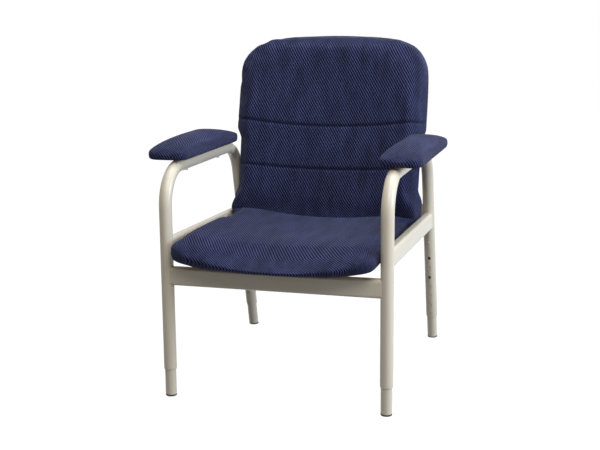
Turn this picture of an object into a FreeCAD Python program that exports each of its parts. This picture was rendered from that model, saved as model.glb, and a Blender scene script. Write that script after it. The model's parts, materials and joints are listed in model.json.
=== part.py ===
import FreeCAD, Part

import math
import os

# Height-adjustable low-back patient chair.  Millimetres, +Z up, the sitter faces -Y, left is -X.
# The origin is on the floor, in the middle of the chair's width and of its overall depth.
# A "station" is a distance measured back (+Y) from the centreline of the front legs.

V = FreeCAD.Vector

# ---- side frames: one bent round tube each ------------------------------------------------------
FRAME_OD = 31.8              # outside diameter of the bent tube
FRAME_WALL = 1.6
FRAME_SPREAD = 549.0         # left tube to right tube, centre to centre
LEG_BASE = 656.0             # front foot to rear foot on the floor, centre to centre
REAR_RAKE = 14.0             # rear leg off the vertical, degrees
ARM_HEIGHT = 568.0           # centreline of the level arm tube
FRONT_BEND_R = 90.0          # centreline radius of the front bend
REAR_BEND_R = 100.0          # centreline radius of the rear bend
TUBE_END_HEIGHT = 70.0       # lower end of the frame tube above the floor, at its centre
TUBE_END_ROUND = 0.7         # rolled outer edge of that end

# ---- telescopic legs ----------------------------------------------------------------------------
LEG_CLEARANCE = 0.3          # radial gap between the inner leg and the frame tube
LEG_WALL = 1.5
LEG_SHOWN = 65.0             # inner leg seen below the frame tube
LEG_INSERTED = 174.0         # inner leg held inside the frame tube
HOLE_PITCH = 30.0            # height steps
HOLES_ABOVE = 2              # free holes above the button
HOLES_BELOW = 4              # free holes below the button
BUTTON_FROM_END = 131.0      # button to the lower end of the frame tube, along the leg
BUTTON_D = 8.0
BUTTON_PROUD = 3.4           # button past the frame tube
BUTTON_HOLE_CLEARANCE = 0.3
BUTTON_FLANGE_D = 9.6
BUTTON_FLANGE_T = 1.2
BUTTON_SHANK_D = 3.6
SPRING_WIDTH = 9.0           # flat strip of the V spring
SPRING_T = 0.8
SPRING_DROP = 52.0           # button to the bend of the V
SPRING_BEND_R = 3.0
FIT = 0.1                    # radial clearance of small fitted pieces
SPIGOT_LENGTH = 20.0         # foot inside the inner leg
FOOT_ROUND = 1.2
STOP_CLEARANCE = 4.0         # stop rivet above the inner leg at its highest step
RIVET_HEAD_D = 7.0
RIVET_HEAD_T = 1.6
RIVET_SHANK_D = 4.0
RIVET_REACH = 4.0            # rivet inside the frame tube

# ---- rails: flat-sided oval tube ----------------------------------------------------------------
RAIL_TALL = 46.0
RAIL_THICK = 25.0
RAIL_CORNER = 8.0
RAIL_WALL = 1.6
FRONT_RAIL_HEIGHT = 309.0    # centre of the front rail
SIDE_RAIL_FRONT_HEIGHT = 378.5
SIDE_RAIL_REAR_HEIGHT = 363.5
REAR_RAIL_HEIGHT = 387.0

# ---- back uprights ------------------------------------------------------------------------------
UPRIGHT_SPREAD = 260.0       # centre to centre
UPRIGHT_WIDE = 30.0
UPRIGHT_THICK = 25.0
UPRIGHT_CORNER = 3.0
UPRIGHT_WALL = 1.6
UPRIGHT_FOOT = 8.0           # upright's lower end above the bottom edge of the rear rail
UPRIGHT_BEND_R = 60.0
UPRIGHT_LENGTH = 330.0       # straight raked length
BACK_RAKE = 14.5             # backrest off the vertical, degrees
CAP_PLUG = 12.0              # end cap inside the upright
CAP_HEAD = 3.0

# ---- seat ---------------------------------------------------------------------------------------
SHELL_T = 12.0               # moulded plywood
SHELL_DISH = 22.0            # middle of a shell below (or behind) its edges
SEAT_SHELL_WIDTH = 476.0
SEAT_SHELL_FRONT = -14.0     # station of the shell's front edge
SEAT_SHELL_REAR = 420.0      # station of the shell's rear edge
SEAT_REAR = 440.0            # station of the cushion's rear end
SEAT_WIDTH = 508.0           # over the cushion
SEAT_NOSE = 76.0             # cushion in front of the leg centreline, at the middle
SEAT_CORNER_NOSE = 46.0      # the same at the cushion's corners
SEAT_PAD_EDGE = 49.0         # cushion above the shell's edge
SEAT_REAR_FALL = 14.0        # top surface falls towards the backrest
SEAT_FALL_STATION = 180.0    # station where that fall starts
SEAT_NOSE_R = 42.0           # waterfall radius
SEAT_UNDER_R = 24.0          # rounding under the nose
SEAT_NOSE_LIFT = 15.0        # underside of the nose above the front rail
SEAT_PLAN_R = 30.0           # front corners seen from above
SEAT_EDGE_R = 16.0           # rounding of the long edges
SEAT_BACK_GAP = 1.0          # cushion to backrest
TAB_T = 3.0                  # welded seat tabs
TAB_LENGTH = 45.0
TAB_REACH = 42.0
TAB_UP = 26.0                # tab up the inner face of the side rail
TAB_STATIONS = (105.0, 375.0)
SEAT_SCREW_D = 6.0
SEAT_SCREW_HEAD_D = 12.0
SEAT_SCREW_HEAD_T = 3.2

# ---- backrest -----------------------------------------------------------------------------------
BACK_SHELL_WIDTH = 476.0
BACK_SHELL_FOOT = 14.0       # cushion past the shell's upper and lower edges
BACK_WIDTH = 516.0           # over the cushion
BACK_FOOT_HEIGHT = 376.0     # lower edge of the cushion above the floor
BACK_LENGTH = 505.0          # cushion along its rake
BACK_PAD_FOOT = 62.0         # cushion in front of the shell's edges, at the lower end
BACK_PAD_LUMBAR = 70.0       # the same at the lumbar swell
BACK_PAD_HEAD = 40.0         # the same at the upper end
BACK_LUMBAR = 180.0          # lumbar swell above the lower edge
BACK_WRAP = 5.0              # cushion behind the shell's rear face at its edges
BACK_TOP_R = 110.0           # upper corners seen from the front
BACK_TOP_CROWN = 30.0        # upper edge rises towards its middle
BACK_FOOT_R = 36.0           # lower corners seen from the front
BACK_EDGE_R = 20.0
BACK_ROLL_R = 30.0           # rounding of the upper and lower ends seen from the side
BACK_BOLT_UPS = (85.0, 290.0)  # bolts up the raked part of the upright
BOLT_D = 6.0
BOLT_HEAD_D = 13.0
BOLT_HEAD_T = 3.4
TEE_FLANGE_D = 19.0
TEE_FLANGE_T = 1.4
TEE_BARREL_D = 7.6
TEE_BARREL = 8.5

# ---- arm pads -----------------------------------------------------------------------------------
ARM_BOARD_WIDTH = 76.0
ARM_BOARD_T = 9.0
ARM_BOARD_INSET = 24.0       # board shorter than the pad at each end
PAD_WIDTH = 106.0
PAD_OFFSET = 16.5            # pad centre outboard of the tube
PAD_LIFT = 0.5               # pad's lower edge above the arm tube
PAD_THICK = 50.5             # crown above the lower edge
PAD_END_THICK = 24.0         # the same at the front and rear ends
PAD_SIDE_THICK = 26.0        # the same along the sides
PAD_FRONT = 48.0             # stations of the pad's ends
PAD_REAR = 460.0
PAD_FRONT_R = 24.0
PAD_REAR_R = 32.0
PAD_EDGE_R = 9.0
ARM_SCREW_STATIONS = (140.0, 370.0)
ARM_SCREW_D = 5.0
ARM_SCREW_HEAD_D = 10.0
ARM_SCREW_HEAD_T = 3.0

SOFT_GAP = 0.3               # upholstery to its rigid neighbours

# ---- worked out ---------------------------------------------------------------------------------
FRAME_R = FRAME_OD / 2
FRAME_BORE_R = FRAME_R - FRAME_WALL
FRAME_X = FRAME_SPREAD / 2
LEG_R = FRAME_BORE_R - LEG_CLEARANCE
LEG_BORE_R = LEG_R - LEG_WALL
RAKE = math.radians(REAR_RAKE)
LEAN = math.radians(BACK_RAKE)
FOOT_REACH = LEG_R / math.cos(RAKE)
FRONT_LEG_Y = (SEAT_NOSE - LEG_BASE - FOOT_REACH) / 2
REAR_FOOT_Y = FRONT_LEG_Y + LEG_BASE
RAIL_INNER_X = FRAME_X - RAIL_THICK / 2
ARM_TOP = ARM_HEIGHT + FRAME_R
SEAT_SHELL_BASE = FRONT_RAIL_HEIGHT + RAIL_TALL / 2
SHELL_R = ((SEAT_SHELL_WIDTH / 2) ** 2 + SHELL_DISH ** 2) / (2 * SHELL_DISH)
REAR_RAIL_Y = REAR_FOOT_Y - REAR_RAIL_HEIGHT * math.tan(RAKE)
UPRIGHT_Y = REAR_RAIL_Y - RAIL_THICK / 2 - UPRIGHT_THICK / 2


def station(distance):
    """Y of a distance measured back from the front legs."""
    return FRONT_LEG_Y + distance


def rear_leg_y(height):
    """Y of the rear leg's centreline at a height."""
    return REAR_FOOT_Y - height * math.tan(RAKE)


def placed(shape, placement):
    """Copy of a shape at a placement."""
    copy = shape.copy()
    copy.Placement = placement.multiply(copy.Placement)
    return copy


def mirrored(shape):
    """The same piece on the other side of the chair."""
    return shape.mirror(V(0, 0, 0), V(1, 0, 0))


def line(a, b):
    """Straight edge."""
    return Part.LineSegment(a, b).toShape()


def arc(a, middle, b):
    """Circular edge through three points."""
    return Part.Arc(a, middle, b).toShape()


def prism(edges, direction):
    """Solid swept straight from a closed flat outline."""
    return Part.Face(Part.Wire(Part.__sortEdges__(edges))).extrude(direction)


def arch(a, middle, b, floor, spill):
    """Edges round the space under a symmetric arch that runs on past its ends, down to a floor."""
    half = (a - b).Length / 2
    rise = middle.z - a.z
    radius = (half ** 2 + rise ** 2) / (2 * rise)
    drop = radius - math.sqrt(radius ** 2 - (half + spill) ** 2)
    outward = (a - b).normalize() * spill
    left = V(a.x + outward.x, a.y + outward.y, middle.z - drop)
    right = V(b.x - outward.x, b.y - outward.y, middle.z - drop)
    left_low, right_low = V(left.x, left.y, floor), V(right.x, right.y, floor)
    return [arc(left, middle, right), line(left, left_low), line(left_low, right_low),
            line(right_low, right)]


def rod(radius, start, end):
    """Solid cylinder between two points."""
    return Part.makeCylinder(radius, (end - start).Length, start, end - start)


def rounded_outline(wide, tall, corner):
    """Closed wire of a rounded rectangle about the origin of the XY plane."""
    box = Part.makeBox(wide, tall, 1, V(-wide / 2, -tall / 2, 0))
    upright_edges = [e for e in box.Edges if abs(e.tangentAt(e.FirstParameter).z) > 0.9]
    rounded = box.makeFillet(corner, upright_edges)
    floor = min(rounded.Faces, key=lambda face: face.CenterOfMass.z)
    return floor.OuterWire


def tube(wide, tall, corner, wall, length):
    """Hollow rounded rectangular tube along +Z."""
    outer = Part.Face(rounded_outline(wide, tall, corner)).extrude(V(0, 0, length))
    inner = Part.Face(rounded_outline(wide - 2 * wall, tall - 2 * wall, corner - wall))
    return outer.cut(inner.extrude(V(0, 0, length)))


def along(start, end, up):
    """Placement that takes +Z from start to end and turns +Y towards up."""
    direction = (end - start).normalize()
    sideways = up.cross(direction).normalize()
    return FreeCAD.Placement(start, FreeCAD.Rotation(sideways, up, direction, "ZXY"))


# ---- side frame ---------------------------------------------------------------------------------
def frame_knots():
    """Points of the right side frame's centreline: where straights and bends meet, and bend centres."""
    rear_bend_z = ARM_HEIGHT - REAR_BEND_R
    rear_bend_y = REAR_FOOT_Y - (REAR_BEND_R + rear_bend_z * math.sin(RAKE)) / math.cos(RAKE)
    front_bend = V(FRAME_X, FRONT_LEG_Y + FRONT_BEND_R, ARM_HEIGHT - FRONT_BEND_R)
    rear_bend = V(FRAME_X, rear_bend_y, rear_bend_z)
    return {
        "front_end": V(FRAME_X, FRONT_LEG_Y, TUBE_END_HEIGHT),
        "front_top": front_bend - V(0, FRONT_BEND_R, 0),
        "front_bend": front_bend,
        "arm_front": front_bend + V(0, 0, FRONT_BEND_R),
        "arm_rear": rear_bend + V(0, 0, REAR_BEND_R),
        "rear_bend": rear_bend,
        "rear_top": rear_bend + V(0, math.cos(RAKE), math.sin(RAKE)) * REAR_BEND_R,
        "rear_end": V(FRAME_X, rear_leg_y(TUBE_END_HEIGHT), TUBE_END_HEIGHT),
    }


def frame_runs(radius):
    """Solid round bars along the frame's centreline: front leg, bend, arm, bend, rear leg."""
    knots = frame_knots()
    bends = []
    for start, tangent, centre, angle in (("front_top", V(0, 0, 1), "front_bend", 90),
                                          ("arm_rear", V(0, 1, 0), "rear_bend", 90 - REAR_RAKE)):
        disc = Part.Face(Part.Wire(Part.makeCircle(radius, knots[start], tangent)))
        bends.append(disc.revolve(knots[centre], V(-1, 0, 0), angle))
    front_leg = rod(radius, knots["front_end"], knots["front_top"])
    arm = rod(radius, knots["arm_front"], knots["arm_rear"])
    rear_leg = rod(radius, knots["rear_top"], knots["rear_end"])
    return [front_leg, bends[0], arm, bends[1], rear_leg]


def frame_bar(radius):
    """One solid round bar along the frame's whole centreline."""
    bar, *others = frame_runs(radius)
    for run in others:
        bar = bar.fuse(run)
    return bar


def leg_placement(end):
    """Local frame of a leg: origin at the frame tube's lower end, +Z up the leg, +Y out of the button."""
    if end == "front":
        return FreeCAD.Placement(V(FRAME_X, FRONT_LEG_Y, TUBE_END_HEIGHT), FreeCAD.Rotation())
    turned = FreeCAD.Rotation(V(0, 0, 1), 180)
    raked = FreeCAD.Rotation(V(1, 0, 0), REAR_RAKE)
    place = V(FRAME_X, rear_leg_y(TUBE_END_HEIGHT), TUBE_END_HEIGHT)
    return FreeCAD.Placement(place, raked.multiply(turned))


def button_holes():
    """Cutters for the row of height holes, in a leg's local frame."""
    radius = BUTTON_D / 2 + BUTTON_HOLE_CLEARANCE
    heights = [BUTTON_FROM_END + HOLE_PITCH * step for step in range(-HOLES_BELOW, HOLES_ABOVE + 1)]
    return Part.makeCompound([rod(radius, V(0, 0, z), V(0, FRAME_OD, z)) for z in heights])


def stop_rivet():
    """Rivet that stops the inner leg at its highest step, in the leg's local frame."""
    height = LEG_INSERTED + HOLE_PITCH * HOLES_ABOVE + STOP_CLEARANCE + RIVET_SHANK_D / 2
    head = rod(RIVET_HEAD_D / 2, V(0, FRAME_R - RIVET_HEAD_T / 2, height),
               V(0, FRAME_R + RIVET_HEAD_T, height))
    rim = [e for e in head.Edges if e.BoundBox.YMin > FRAME_R + RIVET_HEAD_T - FIT]
    head = head.makeChamfer(RIVET_HEAD_T * 0.7, rim)
    shank = rod(RIVET_SHANK_D / 2, V(0, FRAME_BORE_R - RIVET_REACH, height), V(0, FRAME_R, height))
    return head.fuse(shank).removeSplitter()


def rounded_end(run):
    """A run of tube with the edge of its lower end eased, if it has one."""
    edges = [e for e in run.Edges if e.BoundBox.ZMax < TUBE_END_HEIGHT + FRAME_R
             and e.Curve.TypeId == "Part::GeomCircle"]
    return run.makeChamfer(TUBE_END_ROUND, edges) if edges else run


def side_frame():
    """Right side frame: bent tube in five tangent runs, pierced for the buttons and arm screws."""
    cutters = [frame_bar(FRAME_BORE_R)]
    for end in ("front", "rear"):
        cutters += [placed(button_holes(), leg_placement(end)), placed(stop_rivet(), leg_placement(end))]
    for place in ARM_SCREW_STATIONS:
        low = V(FRAME_X, station(place), ARM_HEIGHT - FRAME_OD)
        high = V(FRAME_X, station(place), ARM_HEIGHT + FRAME_OD)
        cutters.append(rod(ARM_SCREW_D / 2 + FIT, low, high))
    return Part.makeCompound([reduce_cut(rounded_end(run), cutters) for run in frame_runs(FRAME_R)])


# ---- rails --------------------------------------------------------------------------------------
def rail(start, end, cope):
    """Rail between two frame centrelines, coped round the bars that it meets."""
    direction = (end - start).normalize()
    sideways = V(0, 0, 1).cross(direction).normalize()
    place = along(start, end, direction.cross(sideways))
    length = (end - start).Length
    pipe = placed(tube(RAIL_THICK, RAIL_TALL, RAIL_CORNER, RAIL_WALL, length), place)
    section = Part.Face(rounded_outline(RAIL_THICK, RAIL_TALL, RAIL_CORNER))
    bar = placed(section.extrude(V(0, 0, length)), place)
    return pipe.cut(cope), bar


def cross_rail(y, height, cope):
    """Rail across the chair, its ends let in only as far as its own thickness needs."""
    reach = FRAME_X - math.sqrt(FRAME_R ** 2 - (RAIL_THICK / 2) ** 2)
    return rail(V(-reach, y, height), V(reach, y, height), cope)[0]


def side_rail(cope):
    """Right seat rail from the front leg to the rear leg."""
    front = V(FRAME_X, FRONT_LEG_Y, SIDE_RAIL_FRONT_HEIGHT)
    rear = V(FRAME_X, rear_leg_y(SIDE_RAIL_REAR_HEIGHT), SIDE_RAIL_REAR_HEIGHT)
    return rail(front, rear, cope)


# ---- telescopic legs ----------------------------------------------------------------------------
def inner_leg():
    """Inner leg tube with its button hole, in the leg's local frame."""
    low = V(0, 0, -LEG_SHOWN)
    high = V(0, 0, LEG_INSERTED)
    pipe = rod(LEG_R, low, high).cut(rod(LEG_BORE_R, low, high))
    hole = rod(BUTTON_D / 2 + BUTTON_HOLE_CLEARANCE, V(0, 0, BUTTON_FROM_END),
               V(0, FRAME_OD, BUTTON_FROM_END))
    return pipe.cut(hole)


def flange_face():
    """Distance from the leg's axis to the outer face of the button's flange, clear of the bore."""
    return math.sqrt(LEG_BORE_R ** 2 - (BUTTON_FLANGE_D / 2) ** 2) - FIT


def snap_button():
    """Domed button with its flange and rivet shank, in the leg's local frame."""
    face = flange_face()
    seat = face - BUTTON_FLANGE_T
    tip = FRAME_R + BUTTON_PROUD
    head = rod(BUTTON_D / 2, V(0, seat, 0), V(0, tip, 0))
    rim = [e for e in head.Edges if e.BoundBox.YMin > tip - FIT]
    head = head.makeChamfer(BUTTON_PROUD * 0.4, rim)
    flange = rod(BUTTON_FLANGE_D / 2, V(0, seat, 0), V(0, face, 0))
    shank = rod(BUTTON_SHANK_D / 2, V(0, seat - 2 * SPRING_T, 0), V(0, face, 0))
    button = head.fuse([flange, shank]).removeSplitter()
    button.translate(V(0, 0, BUTTON_FROM_END))
    return button


def snap_spring():
    """V of flat strip that pushes the button out, in the leg's local frame."""
    front = flange_face() - BUTTON_FLANGE_T - SPRING_T / 2
    back = -(math.sqrt(LEG_BORE_R ** 2 - (SPRING_WIDTH / 2) ** 2) - SPRING_T / 2 - FIT)
    end = BUTTON_FLANGE_D / 2 + SPRING_T
    low = BUTTON_FROM_END - SPRING_DROP
    points = [V(0, front, BUTTON_FROM_END + end), V(0, front, BUTTON_FROM_END - end),
              V(0, SPRING_BEND_R, low), V(0, -SPRING_BEND_R, low),
              V(0, back, BUTTON_FROM_END - end), V(0, back, BUTTON_FROM_END + end)]
    bottom = V(0, 0, low - SPRING_BEND_R)
    path = Part.Wire([line(points[0], points[1]), line(points[1], points[2]),
                      arc(points[2], bottom, points[3]), line(points[3], points[4]),
                      line(points[4], points[5])])
    outline = path.makeOffset2D(SPRING_T / 2, 0, False, False)
    strip = Part.Face(outline).extrude(V(SPRING_WIDTH, 0, 0))
    strip.translate(V(-SPRING_WIDTH / 2, 0, 0))
    eye = rod(BUTTON_SHANK_D / 2 + FIT, V(0, 0, BUTTON_FROM_END), V(0, LEG_R, BUTTON_FROM_END))
    return strip.cut(eye)


def foot(end):
    """Foot with a spigot up the inner leg, worn flat to the floor, already in place."""
    low = V(0, 0, -LEG_SHOWN)
    spigot = rod(LEG_BORE_R - FIT, low, low + V(0, 0, SPIGOT_LENGTH))
    head = rod(LEG_R, low - V(0, 0, LEG_R), low)
    shape = placed(spigot.fuse(head).removeSplitter(), leg_placement(end))
    reach = 4 * FRAME_OD
    middle = shape.BoundBox.Center
    ground = Part.makeBox(reach, reach, reach, V(middle.x - reach / 2, middle.y - reach / 2, -reach))
    shape = shape.cut(ground)
    sole = [e for e in shape.Edges if e.BoundBox.ZMax < FIT]
    return shape.makeChamfer(FOOT_ROUND, sole)


# ---- shells -------------------------------------------------------------------------------------
def dished_sheet(width, length, thickness):
    """Sheet along +Y, dished down towards its middle, lowest point at z = 0."""
    half = width / 2
    rise = SHELL_R - math.sqrt(SHELL_R ** 2 - half ** 2)
    inner_r = SHELL_R - thickness
    top_rise = SHELL_R - math.sqrt(inner_r ** 2 - half ** 2)
    under = arc(V(-half, 0, rise), V(0, 0, 0), V(half, 0, rise))
    over = arc(V(-half, 0, top_rise), V(0, 0, thickness), V(half, 0, top_rise))
    ends = [line(V(side * half, 0, rise), V(side * half, 0, top_rise)) for side in (-1, 1)]
    return prism([under, over] + ends, V(0, length, 0))


def dish_rise(x):
    """Height of a dished shell's lower face above its lowest point, at x."""
    return SHELL_R - math.sqrt(SHELL_R ** 2 - x ** 2)


def seat_shell():
    """Moulded plywood seat shell with its screw holes."""
    length = SEAT_SHELL_REAR - SEAT_SHELL_FRONT
    sheet = dished_sheet(SEAT_SHELL_WIDTH, length, SHELL_T)
    corners = [e for e in sheet.Edges if e.Length < SHELL_T * 1.2]
    sheet = sheet.makeFillet(SEAT_EDGE_R, corners)
    sheet.translate(V(0, station(SEAT_SHELL_FRONT), SEAT_SHELL_BASE))
    return sheet


def seat_tab():
    """Bracket welded to the right side rail, folded under the seat shell."""
    outer = RAIL_INNER_X
    inner = outer - TAB_REACH
    edge = SEAT_SHELL_WIDTH / 2
    slope = (dish_rise(edge) - dish_rise(inner)) / (edge - inner)
    seat_in = SEAT_SHELL_BASE + dish_rise(inner)
    seat_out = seat_in + slope * (outer - inner)
    top = seat_out + TAB_UP
    points = [V(inner, 0, seat_in), V(outer - TAB_T, 0, seat_out - slope * TAB_T),
              V(outer - TAB_T, 0, top), V(outer, 0, top),
              V(outer, 0, seat_out - TAB_T), V(inner, 0, seat_in - TAB_T)]
    profile = Part.makePolygon(points + [points[0]])
    return Part.Face(profile).extrude(V(0, TAB_LENGTH, 0))


def seat_tabs():
    """All seat tabs."""
    right = []
    for place in TAB_STATIONS:
        tab = seat_tab()
        tab.translate(V(0, station(place) - TAB_LENGTH / 2, 0))
        right.append(tab)
    return right + [mirrored(tab) for tab in right]


def seat_screw():
    """Axis placement of a seat screw under the right tab: +Z up, square to the shell."""
    x = RAIL_INNER_X - TAB_REACH + SEAT_SCREW_HEAD_D
    tilt = math.degrees(math.asin(x / SHELL_R))
    point = V(x, 0, SEAT_SHELL_BASE + dish_rise(x))
    return FreeCAD.Placement(point, FreeCAD.Rotation(V(0, 1, 0), -tilt))


def screw(shank_d, head_d, head_t, grip, bite):
    """Pan-head screw along +Z: the head lies below z = -grip, the shank ends at z = bite."""
    head = rod(head_d / 2, V(0, 0, -grip - head_t), V(0, 0, -grip))
    rim = [e for e in head.Edges if e.BoundBox.ZMax < -grip - head_t + FIT]
    head = head.makeChamfer(head_t * 0.5, rim)
    return head.fuse(rod(shank_d / 2, V(0, 0, -grip - FIT), V(0, 0, bite)))


def seat_screws():
    """Screws up through the tabs into the seat shell."""
    one = screw(SEAT_SCREW_D, SEAT_SCREW_HEAD_D, SEAT_SCREW_HEAD_T, TAB_T, SHELL_T * 0.75)
    right = []
    for place in TAB_STATIONS:
        piece = placed(one, seat_screw())
        piece.translate(V(0, station(place), 0))
        right.append(piece)
    return right + [mirrored(piece) for piece in right]


def seat_cushion(shell, backrest):
    """Seat cushion: dished, with a waterfall front, wrapped round the shell's edges."""
    half = SEAT_WIDTH / 2
    base = SEAT_SHELL_BASE
    edge_low = base + dish_rise(half)
    edge_top = base + dish_rise(SEAT_SHELL_WIDTH / 2) + SHELL_T + SEAT_PAD_EDGE
    front = station(-SEAT_NOSE)
    rear = station(SEAT_REAR)
    depth = rear - front

    across = [
        arc(V(-half, front, edge_low), V(0, front, base), V(half, front, edge_low)),
        arc(V(-half, front, edge_top), V(0, front, edge_top - SHELL_DISH), V(half, front, edge_top)),
        line(V(-half, front, edge_low), V(-half, front, edge_top)),
        line(V(half, front, edge_low), V(half, front, edge_top)),
    ]
    body = prism(across, V(0, depth, 0))
    long_edges = [e for e in body.Edges if abs(e.tangentAt(e.FirstParameter).y) > 0.9]
    body = body.makeFillet(SEAT_EDGE_R, long_edges)

    corner = station(-SEAT_CORNER_NOSE)
    plan = [
        arc(V(-half, corner, 0), V(0, front, 0), V(half, corner, 0)),
        line(V(-half, corner, 0), V(-half, rear, 0)),
        line(V(half, corner, 0), V(half, rear, 0)),
        line(V(-half, rear, 0), V(half, rear, 0)),
    ]
    plan = prism(plan, V(0, 0, 2 * edge_top))
    posts = [e for e in plan.Edges
             if abs(e.tangentAt(e.FirstParameter).z) > 0.9 and e.BoundBox.YMax < corner + 1]
    plan = plan.makeFillet(SEAT_PLAN_R, posts)

    fall_y = station(SEAT_FALL_STATION)
    side = [
        line(V(-half, front, base + SEAT_NOSE_LIFT), V(-half, station(SEAT_SHELL_FRONT), base)),
        line(V(-half, station(SEAT_SHELL_FRONT), base), V(-half, rear, base)),
        line(V(-half, rear, base), V(-half, rear, edge_top - SEAT_REAR_FALL)),
        line(V(-half, rear, edge_top - SEAT_REAR_FALL), V(-half, fall_y, edge_top)),
        line(V(-half, fall_y, edge_top), V(-half, front, edge_top)),
        line(V(-half, front, edge_top), V(-half, front, base + SEAT_NOSE_LIFT)),
    ]
    side = prism(side, V(SEAT_WIDTH, 0, 0))
    lips = [e for e in side.Edges if abs(e.tangentAt(e.FirstParameter).x) > 0.9
            and e.BoundBox.YMax < front + 1]
    middle = (base + edge_top) / 2
    side = side.makeFillet(SEAT_NOSE_R, [e for e in lips if e.BoundBox.ZMin > middle])
    lips = [e for e in side.Edges if abs(e.tangentAt(e.FirstParameter).x) > 0.9
            and e.BoundBox.YMax < front + 1 and e.BoundBox.ZMax < middle]
    side = side.makeFillet(SEAT_UNDER_R, lips)

    cushion = body.common(plan).common(side)
    return cushion.cut(shell).cut(backrest)


# ---- backrest -----------------------------------------------------------------------------------
def back_placement():
    """Local frame of the backrest: origin on the uprights' front plane at the cushion's lower edge.

    Local +Z runs up the rake, local -Y points at the sitter.
    """
    bend_end = upright_knots()[2]
    face_y = bend_end.y - math.cos(LEAN) * UPRIGHT_THICK / 2
    face_z = bend_end.z + math.sin(LEAN) * UPRIGHT_THICK / 2
    y = face_y + (BACK_FOOT_HEIGHT - face_z) * math.tan(LEAN)
    return FreeCAD.Placement(V(0, y, BACK_FOOT_HEIGHT), FreeCAD.Rotation(V(1, 0, 0), -BACK_RAKE))


def back_depth():
    """Distance from the uprights' front plane to the rear of the dished shell, in the local frame."""
    return dish_rise(UPRIGHT_SPREAD / 2 - UPRIGHT_WIDE / 2)


def back_outline(aside, ends):
    """Prism of the backrest seen from the front, inset at its sides and at its ends."""
    half = BACK_WIDTH / 2 - aside
    deep = 2 * BACK_PAD_LUMBAR
    low = ends
    top = BACK_LENGTH - ends
    shoulder = top - BACK_TOP_CROWN
    block = prism([
        line(V(-half, -deep, low), V(half, -deep, low)),
        line(V(half, -deep, low), V(half, -deep, shoulder)),
        arc(V(half, -deep, shoulder), V(0, -deep, top), V(-half, -deep, shoulder)),
        line(V(-half, -deep, shoulder), V(-half, -deep, low)),
    ], V(0, 2 * deep, 0))
    corners = [e for e in block.Edges if abs(e.tangentAt(e.FirstParameter).y) > 0.9]
    block = block.makeFillet(BACK_TOP_R - aside, [e for e in corners if e.BoundBox.ZMin > half])
    corners = [e for e in block.Edges if abs(e.tangentAt(e.FirstParameter).y) > 0.9
               and e.BoundBox.ZMax < low + 1 and abs(e.BoundBox.XMin) > half - 1]
    return block.makeFillet(BACK_FOOT_R - aside, corners)


def back_shell_local():
    """Moulded plywood back shell, in the backrest's local frame."""
    sheet = dished_sheet(BACK_SHELL_WIDTH + 2 * SHELL_T, BACK_LENGTH, SHELL_T)
    stand = FreeCAD.Placement(V(0, back_depth(), 0), FreeCAD.Rotation(V(1, 0, 0), 90))
    sheet = placed(sheet, stand)
    return sheet.common(back_outline((BACK_WIDTH - BACK_SHELL_WIDTH) / 2, BACK_SHELL_FOOT))


def back_cushion_local(shell):
    """Back cushion: hollowed across, swelled at the lumbar, wrapped round the shell's edges."""
    spill = SOFT_GAP * 4
    half = BACK_WIDTH / 2 + spill
    shell_edge = back_depth() - dish_rise(BACK_SHELL_WIDTH / 2) - SHELL_T
    rear_edge = shell_edge + SHELL_T + BACK_WRAP
    front_edge = shell_edge - BACK_PAD_LUMBAR

    low = -spill
    across = [
        arc(V(-half, front_edge, low), V(0, front_edge + SHELL_DISH, low), V(half, front_edge, low)),
        arc(V(-half, rear_edge, low), V(0, back_depth(), low), V(half, rear_edge, low)),
        line(V(-half, front_edge, low), V(-half, rear_edge, low)),
        line(V(half, front_edge, low), V(half, rear_edge, low)),
    ]
    body = prism(across, V(0, 0, BACK_LENGTH + 2 * spill))
    long_edges = [e for e in body.Edges if abs(e.tangentAt(e.FirstParameter).z) > 0.9]
    body = body.makeFillet(BACK_EDGE_R, long_edges)

    deep = back_depth() + BACK_WRAP
    front_foot = V(-half, shell_edge - BACK_PAD_FOOT, 0)
    front_swell = V(-half, front_edge, BACK_LUMBAR)
    front_head = V(-half, shell_edge - BACK_PAD_HEAD, BACK_LENGTH)
    rear_head = V(-half, deep, BACK_LENGTH)
    rear_foot = V(-half, deep, 0)
    side = prism([arc(front_foot, front_swell, front_head), line(front_head, rear_head),
                  line(rear_head, rear_foot), line(rear_foot, front_foot)], V(2 * half, 0, 0))
    ends = [e for e in side.Edges if abs(e.tangentAt(e.FirstParameter).x) > 0.9]
    side = side.makeFillet(BACK_ROLL_R, ends)
    behind_shell = shell.copy()
    behind_shell.translate(V(0, SHELL_T, 0))
    body = body.common(back_outline(0, 0)).common(side)
    return body.cut(shell).cut(behind_shell).removeSplitter()


def upright_knots():
    """Right back upright: lower end, both ends of its bend, upper end, and its raked direction."""
    x = UPRIGHT_SPREAD / 2
    low = V(x, UPRIGHT_Y, REAR_RAIL_HEIGHT - RAIL_TALL / 2 + UPRIGHT_FOOT)
    bend_start = V(x, UPRIGHT_Y, REAR_RAIL_HEIGHT + RAIL_TALL / 2)
    raked = V(0, math.sin(LEAN), math.cos(LEAN))
    bend_end = bend_start + V(0, 1 - math.cos(LEAN), math.sin(LEAN)) * UPRIGHT_BEND_R
    return low, bend_start, bend_end, bend_end + raked * UPRIGHT_LENGTH, raked


def upright_bar(wide, thick, corner):
    """Solid rounded bar along the right upright's centreline."""
    low, bend_start, bend_end, top, raked = upright_knots()
    section = Part.Face(rounded_outline(wide, thick, corner))
    lower = section.copy()
    lower.translate(low)
    knee = section.copy()
    knee.translate(bend_start)
    upper = placed(section, FreeCAD.Placement(bend_end, FreeCAD.Rotation(V(1, 0, 0), -BACK_RAKE)))
    bend = knee.revolve(bend_start + V(0, UPRIGHT_BEND_R, 0), V(-1, 0, 0), BACK_RAKE)
    return lower.extrude(bend_start - low).fuse([bend, upper.extrude(top - bend_end)])


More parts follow.
